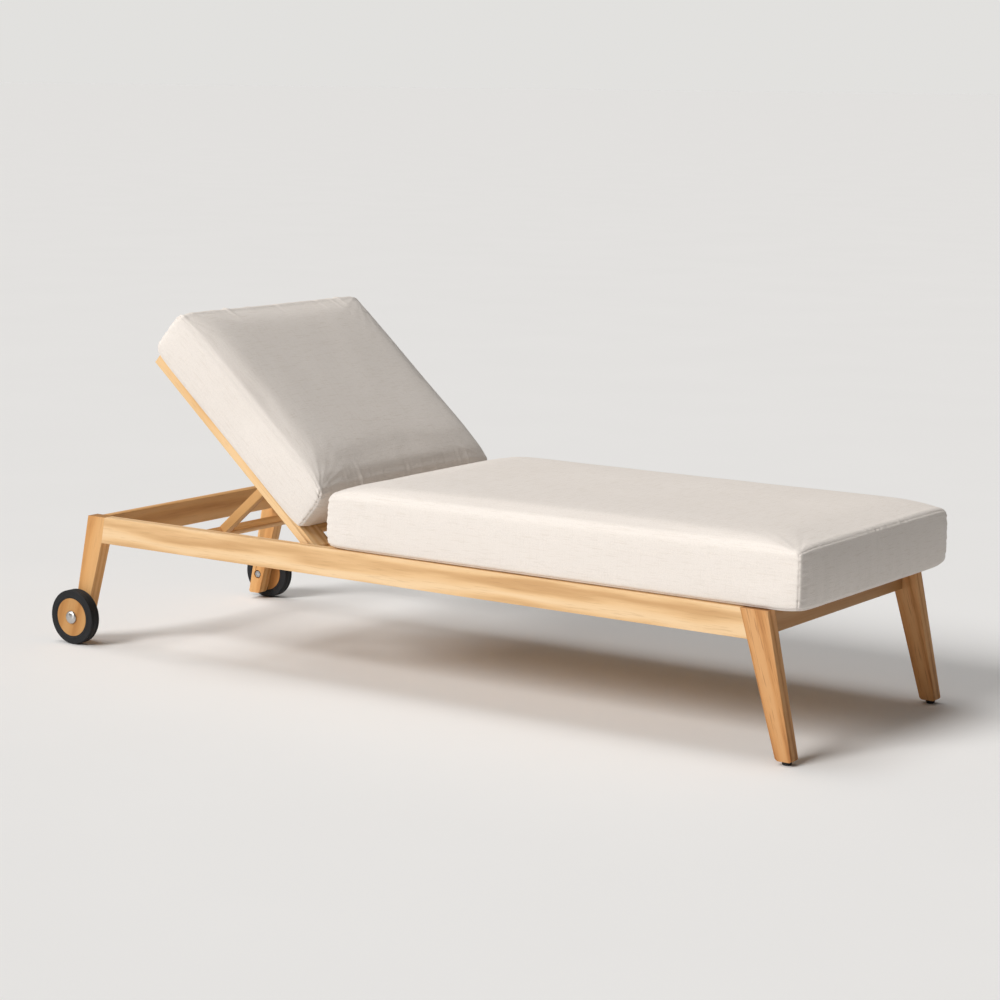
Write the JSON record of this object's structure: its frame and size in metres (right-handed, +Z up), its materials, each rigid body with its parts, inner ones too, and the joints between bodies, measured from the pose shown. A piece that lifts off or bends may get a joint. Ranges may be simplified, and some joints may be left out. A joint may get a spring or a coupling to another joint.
{
  "type": "reclining sun lounger",
  "caption": "Reclining sun lounger: slatted hardwood frame on wheels and splayed legs, propped adjustable backrest, thick fabric cushions.",
  "frame": {"origin": "middle of the bounding box, on the ground under the wheels and the foot glides", "axes": "+X along the lounger towards the foot end, +Y to the left side of somebody lying on it, +Z up"},
  "size_m": [2.0162, 0.7778, 0.8091],
  "materials": {
    "frame_wood": "satin",
    "inner_wood": "satin",
    "slat_wood": "satin",
    "back_wood": "satin",
    "prop_wood": "satin",
    "wheel_wood": "satin",
    "tyre_rubber": "matte",
    "glide_rubber": "matte",
    "nylon": "satin",
    "brushed_bolt": "satin",
    "steel": "satin",
    "seat_fabric": "matte",
    "back_fabric": "matte"
  },
  "bodies": {
    "frame": {"side_rail_left": "frame_wood", "side_rail_right": "frame_wood", "head_rail": "frame_wood", "foot_rail": "frame_wood", "hinge_rail": "inner_wood", "head_leg_left": "frame_wood", "head_leg_right": "frame_wood", "foot_leg_left": "frame_wood", "foot_leg_right": "frame_wood", "slat_bearer_left": "inner_wood", "slat_bearer_right": "inner_wood", "seat_slat_1": "slat_wood", "seat_slat_2": "slat_wood", "seat_slat_3": "slat_wood", "seat_slat_4": "slat_wood", "seat_slat_5": "slat_wood", "seat_slat_6": "slat_wood", "seat_slat_7": "slat_wood", "seat_slat_8": "slat_wood", "seat_slat_9": "slat_wood", "seat_slat_10": "slat_wood", "seat_slat_11": "slat_wood", "prop_ladder_left": "inner_wood", "prop_ladder_right": "inner_wood", "rail_dowels": "inner_wood", "slat_screws": "steel", "ladder_screws": "steel", "foot_glide_left": "glide_rubber", "foot_glide_right": "glide_rubber", "hinge_pin_left": "steel", "hinge_pin_right": "steel", "hinge_washers": "nylon", "axle_bolt_left": "brushed_bolt", "axle_bolt_right": "brushed_bolt", "axle_hardware": "steel", "seat_cushion": "seat_fabric"},
    "backrest": {"back_stile_left": "back_wood", "back_stile_right": "back_wood", "back_slat_1": "slat_wood", "back_slat_2": "slat_wood", "back_slat_3": "slat_wood", "back_slat_4": "slat_wood", "back_slat_5": "slat_wood", "back_slat_6": "slat_wood", "prop_bracket_left": "steel", "prop_bracket_right": "steel", "prop_pivot_bolts": "steel", "back_cushion": "back_fabric"},
    "prop": {"prop_arm_left": "prop_wood", "prop_arm_right": "prop_wood", "prop_crossbar": "prop_wood", "prop_dowels": "prop_wood"},
    "wheel_left": {"wheel_disc_left": "wheel_wood", "tyre_left": "tyre_rubber", "wheel_bush_left": "nylon"},
    "wheel_right": {"wheel_disc_right": "wheel_wood", "tyre_right": "tyre_rubber", "wheel_bush_right": "nylon"}
  },
  "joints": [
    {"name": "back_hinge", "type": "hinge", "parent": "frame", "child": "backrest", "pos_m": [-0.25548, 0, 0.30175], "axis": [0, 1, 0], "range_deg": [-41.3, 8.7]},
    {"name": "prop_hinge", "type": "hinge", "parent": "backrest", "child": "prop", "pos_m": [-0.43426, 0, 0.42613], "axis": [0, 1, 0], "range_deg": [-17.4, 82.6]},
    {"name": "wheel_left_spin", "type": "hinge", "parent": "frame", "child": "wheel_left", "pos_m": [-0.94222, 0.3675, 0.0659], "axis": [0, 1, 0], "continuous": true},
    {"name": "wheel_right_spin", "type": "hinge", "parent": "frame", "child": "wheel_right", "pos_m": [-0.94222, -0.3675, 0.0659], "axis": [0, 1, 0], "continuous": true}
  ],
  "couplings": [
    {"joint": "prop_hinge", "follows": "back_hinge", "ratio": -2}
  ]
}
